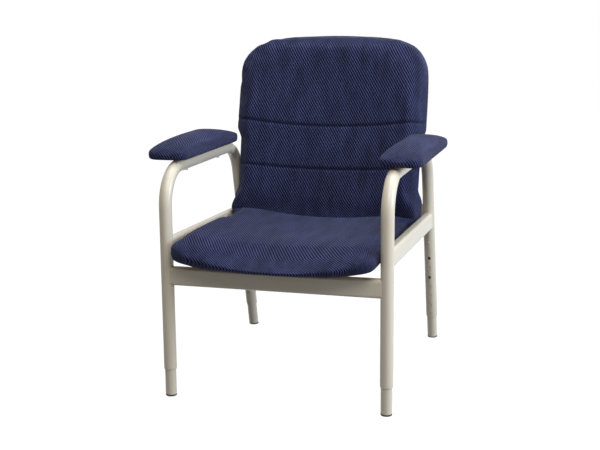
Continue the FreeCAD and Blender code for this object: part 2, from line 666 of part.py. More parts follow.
def back_upright(bolts):
    """Right upright: rectangular tube bent back to follow the backrest."""
    inner_wide = UPRIGHT_WIDE - 2 * UPRIGHT_WALL
    inner_thick = UPRIGHT_THICK - 2 * UPRIGHT_WALL
    shape = upright_bar(UPRIGHT_WIDE, UPRIGHT_THICK, UPRIGHT_CORNER)
    shape = shape.cut(upright_bar(inner_wide, inner_thick, UPRIGHT_CORNER - UPRIGHT_WALL))
    for place in bolts:
        shape = shape.cut(placed(rod(BOLT_D / 2 + FIT, V(0, 0, -FRAME_OD * 2), V(0, 0, FRAME_OD)), place))
    return shape


def bolt_places():
    """Placements of the right upright's bolts: origin on its front face, +Z towards the sitter."""
    bend_end, top, raked = upright_knots()[2:]
    forward = V(0, -math.cos(LEAN), math.sin(LEAN))
    turn = FreeCAD.Rotation(V(0, 0, 1), forward)
    return [FreeCAD.Placement(bend_end + raked * up + forward * (UPRIGHT_THICK / 2), turn)
            for up in BACK_BOLT_UPS]


def upright_cap():
    """Plug that closes the upper end of the right upright."""
    top, raked = upright_knots()[3:]
    inner_wide = UPRIGHT_WIDE - 2 * UPRIGHT_WALL - 2 * FIT
    inner_tall = UPRIGHT_THICK - 2 * UPRIGHT_WALL - 2 * FIT
    plug = Part.Face(rounded_outline(inner_wide, inner_tall, UPRIGHT_CORNER - UPRIGHT_WALL))
    plug = plug.extrude(V(0, 0, -CAP_PLUG))
    head = Part.Face(rounded_outline(UPRIGHT_WIDE, UPRIGHT_THICK, UPRIGHT_CORNER))
    head = head.extrude(V(0, 0, CAP_HEAD))
    crown = [e for e in head.Edges if e.BoundBox.ZMin > CAP_HEAD - FIT]
    head = head.makeChamfer(CAP_HEAD / 3, crown)
    turn = FreeCAD.Rotation(V(1, 0, 0), -BACK_RAKE)
    return placed(head.fuse(plug), FreeCAD.Placement(top, turn))


def shell_gap():
    """Gap between the upright's front face and the dished shell, at the bolt."""
    return back_depth() - dish_rise(UPRIGHT_SPREAD / 2)


def bolt_reach():
    """How far a bolt's end stands out of the upright's front face."""
    return SHELL_T


def back_bolt(place):
    """Bolt from behind the upright into the tee nut."""
    one = screw(BOLT_D, BOLT_HEAD_D, BOLT_HEAD_T, UPRIGHT_THICK, bolt_reach())
    return placed(one, place)


def tee_seat():
    """Distance from the upright's front face to the tee nut's flange."""
    return SHELL_T + math.fabs(shell_gap()) + FIT


def tee_nut(place):
    """Tee nut let into the front of the back shell, its flange under the foam."""
    front = tee_seat()
    flange = rod(TEE_FLANGE_D / 2, V(0, 0, front), V(0, 0, front + TEE_FLANGE_T))
    barrel = rod(TEE_BARREL_D / 2, V(0, 0, front - TEE_BARREL), V(0, 0, front))
    bore = rod(BOLT_D / 2 + FIT, V(0, 0, 0), V(0, 0, front + 2 * TEE_FLANGE_T))
    return placed(flange.fuse(barrel).removeSplitter().cut(bore), place)


def tee_pocket(place):
    """Room in the foam for a tee nut and the end of its bolt."""
    deep = max(tee_seat() + TEE_FLANGE_T, bolt_reach()) + SOFT_GAP
    return placed(rod(TEE_FLANGE_D / 2 + SOFT_GAP, V(0, 0, SHELL_T / 2), V(0, 0, deep)), place)


def tee_hole(place):
    """Hole and shallow recess for a tee nut in the back shell."""
    front = tee_seat()
    hole = rod(TEE_BARREL_D / 2 + FIT, V(0, 0, -SHELL_T), V(0, 0, 2 * SHELL_T))
    recess = rod(TEE_FLANGE_D / 2 + FIT, V(0, 0, front), V(0, 0, 2 * SHELL_T))
    return placed(hole.fuse(recess), place)


# ---- arm pads -----------------------------------------------------------------------------------
def arm_board():
    """Board screwed to the top of the right arm tube."""
    length = PAD_REAR - PAD_FRONT - 2 * ARM_BOARD_INSET
    x = FRAME_X + PAD_OFFSET - ARM_BOARD_WIDTH / 2
    board = Part.makeBox(ARM_BOARD_WIDTH, length, ARM_BOARD_T,
                         V(x, station(PAD_FRONT + ARM_BOARD_INSET), ARM_TOP))
    posts = [e for e in board.Edges if abs(e.tangentAt(e.FirstParameter).z) > 0.9]
    return board.makeFillet(ARM_BOARD_WIDTH / 3, posts)


def arm_board_holes():
    """Pilot holes up into the right arm board."""
    rods = []
    for place in ARM_SCREW_STATIONS:
        low = V(FRAME_X, station(place), ARM_TOP - 1)
        rods.append(rod(ARM_SCREW_D / 2 + FIT, low, low + V(0, 0, 1 + ARM_BOARD_T * 0.85)))
    return rods


def arm_pad(board):
    """Right arm pad: boat-shaped, crowned both ways, wrapped round its board."""
    low = ARM_TOP + PAD_LIFT
    centre = FRAME_X + PAD_OFFSET
    inner = centre - PAD_WIDTH / 2
    front = station(PAD_FRONT)
    rear = station(PAD_REAR)
    middle = (front + rear) / 2

    plan = Part.makeBox(PAD_WIDTH, rear - front, 2 * PAD_THICK, V(inner, front, low))
    posts = [e for e in plan.Edges if abs(e.tangentAt(e.FirstParameter).z) > 0.9]
    plan = plan.makeFillet(PAD_FRONT_R, [e for e in posts if e.BoundBox.YMax < middle])
    posts = [e for e in plan.Edges if abs(e.tangentAt(e.FirstParameter).z) > 0.9]
    plan = plan.makeFillet(PAD_REAR_R, [e for e in posts if e.BoundBox.YMin > rear - 1])
    rim = [e for e in plan.Edges if e.BoundBox.ZMax < low + FIT]
    plan = plan.makeFillet(PAD_EDGE_R, rim)

    outer = inner + PAD_WIDTH
    spill = PAD_EDGE_R
    end_z, side_z, top_z = low + PAD_END_THICK, low + PAD_SIDE_THICK, low + PAD_THICK
    x, y = inner - spill, front - spill
    side = arch(V(x, front, end_z), V(x, middle, top_z), V(x, rear, end_z), low - spill, spill)
    across = arch(V(inner, y, side_z), V(centre, y, top_z), V(outer, y, side_z), low - spill, spill)
    side = prism(side, V(PAD_WIDTH + 2 * spill, 0, 0))
    across = prism(across, V(0, rear - front + 2 * spill, 0))
    return plan.common(side).common(across).cut(board)


def arm_screws():
    """Screws up through the arm tubes into the boards."""
    one = screw(ARM_SCREW_D, ARM_SCREW_HEAD_D, ARM_SCREW_HEAD_T, FRAME_OD, ARM_BOARD_T * 0.8)
    right = []
    for place in ARM_SCREW_STATIONS:
        piece = one.copy()
        piece.translate(V(FRAME_X, station(place), ARM_TOP))
        right.append(piece)
    return right + [mirrored(piece) for piece in right]


# ---- the chair ----------------------------------------------------------------------------------
def both_sides(name, shape):
    """A right-hand piece and its mirror image, as two nodes."""
    return {name + "_right": shape, name + "_left": mirrored(shape)}


def pieces():
    """Every node of the chair, by name."""
    nodes = {}
    right_bar = frame_bar(FRAME_R)
    cope = right_bar.fuse(mirrored(right_bar))
    nodes.update(both_sides("side_frame", side_frame()))
    rail_piece, rail_bar = side_rail(right_bar)
    nodes.update(both_sides("side_rail", rail_piece))
    nodes["front_rail"] = cross_rail(FRONT_LEG_Y, FRONT_RAIL_HEIGHT, cope)
    corner = cope.fuse([rail_bar, mirrored(rail_bar)])
    nodes["rear_rail"] = cross_rail(REAR_RAIL_Y, REAR_RAIL_HEIGHT, corner)

    bolts = bolt_places()
    nodes.update(both_sides("back_upright", back_upright(bolts)))
    cap = upright_cap()
    nodes["upright_caps"] = Part.makeCompound([cap, mirrored(cap)])
    right_bolts = [back_bolt(place) for place in bolts]
    right_nuts = [tee_nut(place) for place in bolts]
    all_bolts = right_bolts + [mirrored(piece) for piece in right_bolts]
    all_nuts = right_nuts + [mirrored(piece) for piece in right_nuts]
    nodes["back_bolts"] = Part.makeCompound(all_bolts)
    nodes["back_tee_nuts"] = Part.makeCompound(all_nuts)

    local_shell = back_shell_local()
    back_cushion = placed(back_cushion_local(local_shell), back_placement())
    back_shell = placed(local_shell, back_placement())
    holes = [tee_hole(place) for place in bolts]
    back_shell = reduce_cut(back_shell, holes + [mirrored(hole) for hole in holes])
    pockets = [tee_pocket(place) for place in bolts]
    back_cushion = reduce_cut(back_cushion, pockets + [mirrored(pocket) for pocket in pockets])
    nodes["back_shell"] = back_shell
    nodes["back_cushion"] = back_cushion

    shell = seat_shell()
    screws = seat_screws()
    backrest_space = back_cushion.copy()
    backrest_space.translate(V(0, -SEAT_BACK_GAP, 0))
    cushion = seat_cushion(shell, backrest_space)
    for piece in screws:
        shell = shell.cut(piece)
    tabs = seat_tabs()
    nodes["seat_shell"] = shell
    nodes["seat_cushion"] = cushion
    nodes["seat_tabs"] = Part.makeCompound([reduce_cut(tab, screws + [shell]) for tab in tabs])
    nodes["seat_screws"] = Part.makeCompound(screws)

    board = arm_board()
    nodes.update(both_sides("arm_board", reduce_cut(board, arm_board_holes())))
    nodes.update(both_sides("arm_pad", arm_pad(board)))
    nodes["arm_screws"] = Part.makeCompound(arm_screws())

    rivets = [placed(stop_rivet(), leg_placement(end)) for end in ("front", "rear")]
    nodes["stop_rivets"] = Part.makeCompound(rivets + [mirrored(rivet) for rivet in rivets])
    for end in ("front", "rear"):
        place = leg_placement(end)
        nodes.update(both_sides("inner_leg_" + end, placed(inner_leg(), place)))
        nodes.update(both_sides("snap_button_" + end, placed(snap_button(), place)))
        nodes.update(both_sides("snap_spring_" + end, placed(snap_spring(), place)))
        nodes.update(both_sides("foot_" + end, foot(end)))
    return nodes


def reduce_cut(shape, tools):
    """A shape less every tool."""
    for tool in tools:
        shape = shape.cut(tool)
    return shape


def main():
    """Write one STEP file for each node."""
    os.makedirs("parts", exist_ok=True)
    for name, shape in pieces().items():
        shape.exportStep("parts/" + name + ".step")
        box = shape.BoundBox
        print(f"{name:22s} solids {len(shape.Solids)} valid {shape.isValid()} "
              f"x {box.XMin:.0f}..{box.XMax:.0f} y {box.YMin:.0f}..{box.YMax:.0f} "
              f"z {box.ZMin:.0f}..{box.ZMax:.0f}")


main()
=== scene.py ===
"""Height-adjustable patient chair: upholstery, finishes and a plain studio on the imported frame."""
import json
import logging
import math
from dataclasses import dataclass
from enum import Enum
from typing import ClassVar

import bmesh
import bpy
from mathutils import Matrix, Vector


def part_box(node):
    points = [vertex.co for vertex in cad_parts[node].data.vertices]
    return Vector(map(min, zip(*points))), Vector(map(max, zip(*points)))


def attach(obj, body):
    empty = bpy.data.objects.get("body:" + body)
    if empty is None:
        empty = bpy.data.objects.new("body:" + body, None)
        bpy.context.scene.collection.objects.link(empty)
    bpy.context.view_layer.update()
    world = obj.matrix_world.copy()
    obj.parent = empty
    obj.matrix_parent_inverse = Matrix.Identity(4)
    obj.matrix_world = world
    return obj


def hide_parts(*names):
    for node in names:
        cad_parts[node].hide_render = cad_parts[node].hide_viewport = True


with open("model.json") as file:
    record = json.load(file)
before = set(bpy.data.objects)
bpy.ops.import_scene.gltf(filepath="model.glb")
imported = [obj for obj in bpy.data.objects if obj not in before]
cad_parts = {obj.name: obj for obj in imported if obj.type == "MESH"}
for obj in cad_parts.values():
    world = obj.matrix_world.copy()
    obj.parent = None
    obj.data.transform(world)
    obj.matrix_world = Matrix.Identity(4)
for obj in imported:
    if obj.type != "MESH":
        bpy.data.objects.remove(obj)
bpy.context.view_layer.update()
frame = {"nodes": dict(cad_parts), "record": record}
LOG = logging.getLogger("patient_chair")

Colour = tuple[float, float, float]
BLACK: Colour = (0.0, 0.0, 0.0)
WHITE: Colour = (1.0, 1.0, 1.0)
BACK_LEAN = math.radians(14.5)


class Side(Enum):
    """Which side of the chair a piece is on, as the sign of its X."""

    RIGHT = 1
    LEFT = -1

    @property
    def suffix(self) -> str:
        """End of the node names on this side."""
        return self.name.lower()


class Slot(Enum):
    """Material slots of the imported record."""

    FRAME = "frame_paint"
    LEG = "leg_paint"
    RIVET = "rivet_paint"
    BUTTON = "button_metal"
    SPRING = "spring_steel"
    FOOT = "foot_rubber"
    CAP = "cap_plastic"
    BOLT = "bolt_steel"
    TEE = "tee_steel"
    WOOD = "shell_wood"
    CLOTH = "upholstery"


# ---- finishes -----------------------------------------------------------------------------------
class NodeTree:
    """Node tree of a material or the world, with short calls to add nodes and join them."""

    def __init__(self, tree: bpy.types.NodeTree) -> None:
        """Takes up a node tree.

        Args:
            tree: the tree to add to.
        """
        self.nodes = tree.nodes
        self.links = tree.links

    def add(self, kind: str, values: dict[str, object] | None = None, **settings: object) -> bpy.types.Node:
        """Adds a node.

        Args:
            kind: node type after "ShaderNode".
            values: plain values or output sockets for the named inputs.
            settings: attributes of the node.

        Returns:
            The new node.
        """
        node = self.nodes.new("ShaderNode" + kind)
        for key, value in settings.items():
            setattr(node, key, value)
        for key, value in (values or {}).items():
            self.put(node, key, value)
        return node

    def put(self, node: bpy.types.Node, key: str, value: object) -> None:
        """Sets or links one input.

        Args:
            node: node that owns the input.
            key: name of the input.
            value: plain value, or the output socket to link.
        """
        if isinstance(value, bpy.types.NodeSocket):
            self.links.new(value, node.inputs[key])
        else:
            node.inputs[key].default_value = value

    def blend(self, factor: object, first: object, second: object) -> bpy.types.NodeSocket:
        """Mixes two colours.

        Args:
            factor: number or socket.
            first: colour or socket at factor 0.
            second: colour or socket at factor 1.

        Returns:
            The mixed colour.
        """
        node = self.nodes.new("ShaderNodeMix")
        node.data_type = "RGBA"
        for index, value in ((0, factor), (6, first), (7, second)):
            if isinstance(value, bpy.types.NodeSocket):
                self.links.new(value, node.inputs[index])
            elif index:
                node.inputs[index].default_value = (*value, 1.0)
            else:
                node.inputs[index].default_value = value
        return node.outputs[2]

    def spread(self, value: bpy.types.NodeSocket, low: float, high: float) -> bpy.types.NodeSocket:
        """Stretches a 0 to 1 value to another range.

        Args:
            value: socket to stretch.
            low: result at 0.
            high: result at 1.

        Returns:
            The stretched value.
        """
        node = self.add("MapRange", {"Value": value, "To Min": low, "To Max": high})
        return node.outputs["Result"]

    def noise(self, where: bpy.types.NodeSocket, scale: float, detail: float = 2.0) -> bpy.types.NodeSocket:
        """Adds a noise value.

        Args:
            where: coordinates.
            scale: grains per metre.
            detail: octaves.

        Returns:
            The noise, 0 to 1.
        """
        node = self.add("TexNoise", {"Vector": where, "Scale": scale, "Detail": detail})
        return node.outputs["Fac"]

    def seen(self) -> bpy.types.NodeSocket:
        """Returns 1 for the camera's own rays and for mirrored or refracted ones, and 0 for the rest."""
        sight = self.add("LightPath")
        seen = sight.outputs["Is Camera Ray"]
        for path in ("Is Glossy Ray", "Is Transmission Ray"):
            seen = self.add("Math", {0: seen, 1: sight.outputs[path]}, operation="MAXIMUM").outputs[0]
        return seen


class ShaderTree(NodeTree):
    """Node tree of one material."""

    def __init__(self, name: str) -> None:
        """Starts a material with its Principled shader.

        Args:
            name: name of the material.
        """
        self.material = bpy.data.materials.new(name)
        self.material.use_nodes = True
        super().__init__(self.material.node_tree)
        self.shader = self.nodes["Principled BSDF"]

    def bump(self, height: bpy.types.NodeSocket, depth: float, strength: float = 1.0) -> None:
        """Raises the surface by a height value.

        Args:
            height: socket from 0 to 1.
            depth: metres from 0 to 1.
            strength: share of the effect.
        """
        node = self.add("Bump", {"Height": height, "Distance": depth, "Strength": strength})
        self.put(self.shader, "Normal", node.outputs["Normal"])


@dataclass(frozen=True)
class PowderCoat:
    """Off-white baked powder paint with a faint orange peel."""

    name: str
    colour: Colour = (0.80, 0.740, 0.620)
    shade: Colour = (0.75, 0.685, 0.560)
    gloss_low: float = 0.30
    gloss_high: float = 0.42
    cloud_scale: float = 9.0
    peel_scale: float = 900.0
    peel_depth: float = 0.00002

    def make(self) -> bpy.types.Material:
        """Returns the material."""
        tree = ShaderTree(self.name)
        where = tree.add("TexCoord").outputs["Object"]
        cloud = tree.noise(where, self.cloud_scale, 3.0)
        tree.put(tree.shader, "Base Color", tree.blend(cloud, self.colour, self.shade))
        tree.put(tree.shader, "Roughness", tree.spread(cloud, self.gloss_low, self.gloss_high))
        tree.put(tree.shader, "Coat Weight", 0.15)
        tree.put(tree.shader, "Coat Roughness", 0.12)
        tree.bump(tree.noise(where, self.peel_scale), self.peel_depth)
        return tree.material


@dataclass(frozen=True)
class Metal:
    """Plated or bare steel with fine scratches."""

    name: str
    colour: Colour
    dull: Colour
    roughness: float = 0.32
    scratch_scale: float = 1400.0

    def make(self) -> bpy.types.Material:
        """Returns the material."""
        tree = ShaderTree(self.name)
        where = tree.add("TexCoord").outputs["Object"]
        stain = tree.noise(where, self.scratch_scale / 10, 4.0)
        scratch = tree.noise(where, self.scratch_scale, 2.0)
        tree.put(tree.shader, "Base Color", tree.blend(stain, self.colour, self.dull))
        tree.put(tree.shader, "Metallic", 1.0)
        tree.put(tree.shader, "Roughness", tree.spread(scratch, self.roughness * 0.7, self.roughness * 1.5))
        tree.bump(scratch, 0.00001)
        return tree.material


@dataclass(frozen=True)
class Moulded:
    """Moulded rubber or plastic with a fine grain and scuffs."""

    name: str
    colour: Colour
    scuff: Colour
    roughness: float = 0.6
    grain_scale: float = 1600.0

    def make(self) -> bpy.types.Material:
        """Returns the material."""
        tree = ShaderTree(self.name)
        where = tree.add("TexCoord").outputs["Object"]
        scuffs = tree.spread(tree.noise(where, 120.0, 5.0), -0.6, 1.4)
        grain = tree.noise(where, self.grain_scale, 3.0)
        tree.put(tree.shader, "Base Color", tree.blend(scuffs, self.colour, self.scuff))
        tree.put(tree.shader, "Roughness", tree.spread(grain, self.roughness * 0.85, self.roughness * 1.15))
        tree.bump(grain, 0.00004)
        return tree.material


@dataclass(frozen=True)
class Plywood:
    """Moulded birch plywood with long grain and a wavy figure on its faces."""

    name: str
    pale: Colour = (0.60, 0.43, 0.25)
    dark: Colour = (0.40, 0.26, 0.13)
    grain_scale: float = 7.0
    grain_stretch: float = 16.0

    def make(self) -> bpy.types.Material:
        """Returns the material."""
        tree = ShaderTree(self.name)
        where = tree.add("TexCoord").outputs["Object"]
        long_way = tree.add("Mapping", {"Vector": where, "Scale": (self.grain_stretch, 1.0, 1.0)})
        fibres = tree.noise(long_way.outputs["Vector"], self.grain_scale, 8.0)
        figure = tree.add("TexWave", {"Vector": long_way.outputs["Vector"], "Scale": self.grain_scale / 3,
                                      "Distortion": 6.0, "Detail": 3.0})
        grain = tree.blend(0.45, BLACK, figure.outputs["Color"])
        mixed = tree.blend(fibres, grain, WHITE)
        tree.put(tree.shader, "Base Color", tree.blend(mixed, self.dark, self.pale))
        tree.put(tree.shader, "Roughness", tree.spread(fibres, 0.5, 0.75))
        tree.bump(fibres, 0.00015)
        return tree.material


@dataclass(frozen=True)
class WovenCloth:
    """Navy upholstery cloth: slanting ribs of short light floats on a dark ground, with slubs."""

    name: str
    ground: Colour = (0.0028, 0.0038, 0.022)
    float_light: Colour = (0.098, 0.114, 0.240)
    float_dark: Colour = (0.028, 0.035, 0.118)
    slant: float = math.radians(58)
    rib_pitch: float = 0.0062
    dash_pitch: float = 0.0068
    dash_share: float = 0.27
    band: float = 0.314
    waver: float = 1.2
    yarn_pitch: float = 0.0011
    yarn_share: float = 0.15
    slub_scale: float = 30.0
    slub_stretch: float = 0.28
    slub_low: float = 0.1
    slub_high: float = 1.9
    relief: float = 0.0010

    def ribs(self, tree: ShaderTree, cloth: bpy.types.NodeSocket, turn: float,
             pitch: float) -> bpy.types.NodeSocket:
        """Adds evenly spaced soft ribs.

        Args:
            tree: tree to add to.
            cloth: coordinates on the cloth.
            turn: direction of the ribs from the weft, in radians.
            pitch: metres from one rib to the next.

        Returns:
            The ribs, 0 between them and 1 on them.
        """
        turned = tree.add("Mapping", {"Vector": cloth, "Rotation": (0.0, 0.0, turn)}).outputs["Vector"]
        wave = tree.add("TexWave", {"Vector": turned, "Scale": self.band / pitch, "Distortion": self.waver,
                                    "Detail": 1.0, "Detail Scale": 0.6})
        return wave.outputs["Fac"]

    def make(self) -> bpy.types.Material:
        """Returns the material."""
        tree = ShaderTree(self.name)
        cloth = tree.add("UVMap", uv_map=Cushion.CLOTH_MAP).outputs["UV"]
        ribs = self.ribs(tree, cloth, self.slant - math.pi / 2, self.rib_pitch)
        dashes = self.ribs(tree, cloth, math.pi / 2 - self.slant, self.dash_pitch)
        floats = tree.blend(self.dash_share, ribs, dashes)
        crisp = tree.add("MapRange", {"Value": floats, "From Min": 0.40, "From Max": 0.72},
                         interpolation_type="SMOOTHSTEP").outputs["Result"]
        warp = tree.add("Mapping", {"Vector": cloth, "Scale": (1.0, self.slub_stretch, 1.0)})
        slubs = tree.noise(warp.outputs["Vector"], self.slub_scale, 4.0)
        fuzz = tree.noise(cloth, 2.5 / self.rib_pitch, 3.0)
        yarn = tree.blend(tree.spread(fuzz, -0.3, 1.1), self.float_dark, self.float_light)
        weave = tree.blend(crisp, self.ground, yarn)
        light = tree.spread(slubs, self.slub_low, self.slub_high)
        tint = tree.add("HueSaturation", {"Color": weave, "Value": light}).outputs["Color"]
        # painted shade: the cloth darkens towards its ground colour along the seam creases, standing in for
        # the shadow in the fold
        crease_shade = tree.add("Attribute", attribute_name=Cushion.SEAM_SHADE).outputs["Fac"]
        tree.put(tree.shader, "Base Color", tree.blend(crease_shade, tint, self.ground))
        tree.put(tree.shader, "Roughness", tree.spread(fuzz, 0.75, 0.95))
        tree.put(tree.shader, "Specular IOR Level", 0.15)
        tree.put(tree.shader, "Sheen Weight", 0.07)
        tree.put(tree.shader, "Sheen Roughness", 0.4)
        twist = self.ribs(tree, cloth, self.slant - math.pi / 2, self.yarn_pitch)
        height = tree.blend(self.yarn_share, crisp, twist)
        tree.bump(height, self.relief, 0.8)
        return tree.material


FINISHES = {
    Slot.FRAME: PowderCoat("frame_powder_coat"),
    Slot.LEG: PowderCoat("leg_powder_coat", gloss_low=0.26, gloss_high=0.38),
    Slot.RIVET: PowderCoat("rivet_powder_coat"),
    Slot.BUTTON: Metal("button_dark_plate", (0.06, 0.06, 0.065), (0.03, 0.03, 0.032)),
    Slot.SPRING: Metal("spring_strip", (0.50, 0.50, 0.52), (0.36, 0.36, 0.38), 0.25),
    Slot.FOOT: Moulded("foot_rubber", (0.045, 0.045, 0.048), (0.13, 0.125, 0.12), 0.75),
    Slot.CAP: Moulded("cap_plastic", (0.05, 0.05, 0.055), (0.09, 0.09, 0.09), 0.5),
    Slot.BOLT: Metal("zinc_bolt", (0.56, 0.56, 0.58), (0.42, 0.42, 0.43)),
    Slot.TEE: Metal("zinc_tee_nut", (0.56, 0.56, 0.58), (0.42, 0.42, 0.43), 0.4),
    Slot.WOOD: Plywood("birch_plywood"),
    Slot.CLOTH: WovenCloth("navy_cloth"),
}


class Wardrobe:
    """The finished materials, made once each, and how nodes and pieces put them on."""

    def __init__(self) -> None:
        """Starts with nothing made: a finish is made when it is first asked for."""
        self.materials = {}

    def get(self, slot: Slot) -> bpy.types.Material:
        """Finds the material of a slot, and makes it the first time.

        Args:
            slot: the slot.

        Returns:
            The slot's material.
        """
        if slot not in self.materials:
            self.materials[slot] = FINISHES[slot].make()
        return self.materials[slot]

    def dress_nodes(self) -> None:
        """Gives every node of the frame the finish of its slot."""
        for part in frame["record"]["subparts"]:
            slot = Slot(part["material_slot"])
            shape = frame["nodes"][part["node"]]
            shape.data.materials.clear()
            shape.data.materials.append(self.get(slot))
            LOG.info("dressed %s in %s", part["node"], slot.value)


# ---- cushions -----------------------------------------------------------------------------------
def smoothstep(low: float, high: float, value: float) -> float:
    """Steps smoothly from 0 to 1.

    Args:
        low: where the step starts.
        high: where the step ends.
        value: where to read it.

    Returns:
        0 below low, 1 above high, and between them a smooth rise.
    """
    t = min(max((value - low) / (high - low), 0.0), 1.0)
    return t * t * (3 - 2 * t)


def span(vertices: bpy.types.MeshVertices, axis: Vector) -> tuple[float, float]:
    """Measures how far vertices reach along an axis.

    Args:
        vertices: points to measure.
        axis: direction to measure along.

    Returns:
        The lowest and the highest reach.
    """
    reaches = [vert.co.dot(axis) for vert in vertices]
    return min(reaches), max(reaches)


@dataclass
class Cushion:
    """A foam pad under woven cloth, swelled from its solid by a cloth simulation."""

    CLOTH_MAP: ClassVar[str] = "cloth"
    # point attribute of painted shade: how far the cloth is darkened towards its ground colour in the seam
    # creases
    SEAM_SHADE: ClassVar[str] = "crease_shade"

    node: str
    piece: str
    out: Vector
    along: Vector
    voxel: float = 0.0055
    trim: float = 0.004
    rounding: int = 14
    pressure: float = 4.0
    swell: float = 0.012
    frames: int = 20
    evening: int = 3
    held_at: float = 0.5
    edge_from: float = 0.8
    fill: float = 0.6
    proud: tuple[float, float, float] = (0.0, 0.0, 0.0)

    def __post_init__(self) -> None:
        """Notes the corners of the pad's solid."""
        low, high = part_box(self.node)
        self.low, self.high = Vector(low), Vector(high)

    def build(self, wardrobe: Wardrobe) -> bpy.types.Object:
        """Makes the pad and hands it to the frame.

        Args:
            wardrobe: materials to dress it in.

        Returns:
            The finished pad.
        """
        pad = self.start()
        self.remesh(pad)
        self.relax(pad)
        self.form(pad)
        self.inflate(pad)
        self.refine(pad)
        self.fit(pad)
        self.finish(pad)
        self.sew(pad)
        self.lay_cloth(pad)
        pad.data.materials.clear()
        pad.data.materials.append(wardrobe.get(Slot.CLOTH))
        pad.data.polygons.foreach_set("use_smooth", [True] * len(pad.data.polygons))
        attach(pad, "frame")
        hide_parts(self.node)
        LOG.info("made %s from %s, %d faces", self.piece, self.node, len(pad.data.polygons))
        return pad

    def start(self) -> bpy.types.Object:
        """Returns a copy of the pad's solid as a new object, its facets joined."""
        form = bmesh.new()
        form.from_mesh(frame["nodes"][self.node].data)
        bmesh.ops.remove_doubles(form, verts=form.verts, dist=1e-5)
        mesh = bpy.data.meshes.new(self.piece)
        form.to_mesh(mesh)
        form.free()
        pad = bpy.data.objects.new(self.piece, mesh)
        bpy.context.scene.collection.objects.link(pad)
        return pad

    def settle(self, pad: bpy.types.Object) -> None:
        """Applies the pad's modifiers to its mesh.

        Args:
            pad: the pad.
        """
        graph = bpy.context.evaluated_depsgraph_get()
        applied = bpy.data.meshes.new_from_object(pad.evaluated_get(graph))
        pad.modifiers.clear()
        pad.data = applied

    def remesh(self, pad: bpy.types.Object) -> None:
        """Turns the facets into an even grid of small quads.

        Args:
            pad: the pad.
        """
        grid = pad.modifiers.new("grid", "REMESH")
        grid.mode = "VOXEL"
        grid.voxel_size = self.voxel
        self.settle(pad)

    def freedom(self, spot: Vector) -> float:
        """Tells how freely the surface may leave its solid at a point.

        Args:
            spot: point on the surface.

        Returns:
            1 where it is free, down to 0 where pads meet.
        """
        return 1.0

    def relax(self, pad: bpy.types.Object) -> None:
        """Draws the surface in a little and rounds its edges, as foam under cloth is.

        Args:
            pad: the pad.
        """
        form = bmesh.new()
        form.from_mesh(pad.data)
        form.normal_update()
        starts = [vert.co.copy() for vert in form.verts]
        for vert in form.verts:
            vert.co -= vert.normal * self.trim
        for _ in range(self.rounding):
            self.smooth(form)
        for vert, start in zip(form.verts, starts):
            vert.co = start.lerp(vert.co, self.freedom(start))
        form.to_mesh(pad.data)
        form.free()

    def smooth(self, form: bmesh.types.BMesh) -> None:
        """Draws each point half way to the middle of its neighbours.

        Args:
            form: the mesh being edited.
        """
        bmesh.ops.smooth_vert(form, verts=form.verts, factor=0.5,
                              use_axis_x=True, use_axis_y=True, use_axis_z=True)

    def form(self, pad: bpy.types.Object) -> None:
        """Changes the pad's form before it swells. A plain pad keeps its own.

        Args:
            pad: the pad.
        """

    def sew(self, pad: bpy.types.Object) -> None:
        """Sews seams into the finished surface, with painted shade along their creases. A plain pad has
        none, so its painted seam shade stays at zero.

        Args:
            pad: the pad.
        """
        pad.data.attributes.new(self.SEAM_SHADE, "FLOAT", "POINT")

    def inflate(self, pad: bpy.types.Object) -> None:
        """Swells the pad with air pressure under its cloth, its seated side held still.

        Args:
            pad: the pad.
        """
        held = pad.vertex_groups.new(name="held")
        for vert in pad.data.vertices:
            weight = smoothstep(0.0, self.held_at, -vert.normal.dot(self.out))
            held.add([vert.index], weight, "REPLACE")
        before = [vert.co.copy() for vert in pad.data.vertices]
        cloth = pad.modifiers.new("swell", "CLOTH")
        cloth.settings.quality = 4
        cloth.settings.use_pressure = True
        cloth.settings.uniform_pressure_force = self.pressure
        cloth.settings.effector_weights.gravity = 0.0
        cloth.settings.vertex_group_mass = held.name
        cloth.collision_settings.use_collision = False
        cloth.point_cache.frame_start = 1
        cloth.point_cache.frame_end = self.frames
        scene = bpy.context.scene
        for step in range(1, self.frames + 1):
            scene.frame_set(step)
        self.settle(pad)
        scene.frame_set(1)
        for vert, start in zip(pad.data.vertices, before):
            moved = vert.co - start
            reach = self.swell * self.freedom(start)
            if moved.length > reach:
                vert.co = start + moved * (reach / moved.length)
        pad.vertex_groups.clear()

    def refine(self, pad: bpy.types.Object) -> None:
        """Evens out the swelled surface and divides each face once.

        Args:
            pad: the pad.
        """
        form = bmesh.new()
        form.from_mesh(pad.data)
        for _ in range(self.evening):
            self.smooth(form)
        form.to_mesh(pad.data)
        form.free()
        fine = pad.modifiers.new("fine", "SUBSURF")
        fine.levels = 1
        fine.render_levels = 1
        self.settle(pad)

    def fit(self, pad: bpy.types.Object) -> None:
        """Stretches the pad to its solid's size, or a little proud of it, across, along and out.

        Args:
            pad: the pad.
        """
        across = self.along.cross(self.out).normalized()
        solid = frame["nodes"][self.node].data.vertices
        for axis, proud in zip((across, self.along, self.out), self.proud):
            low, high = span(solid, axis)
            start, end = span(pad.data.vertices, axis)
            stretch = (high - low + 2 * proud) / (end - start)
            for vert in pad.data.vertices:
                reach = vert.co.dot(axis)
                vert.co += axis * ((reach - start) * stretch + low - proud - reach)

    def finish(self, pad: bpy.types.Object) -> None:
        """Changes the finished form where neighbours press on it. Nothing presses on a plain pad.

        Args:
            pad: the pad.
        """

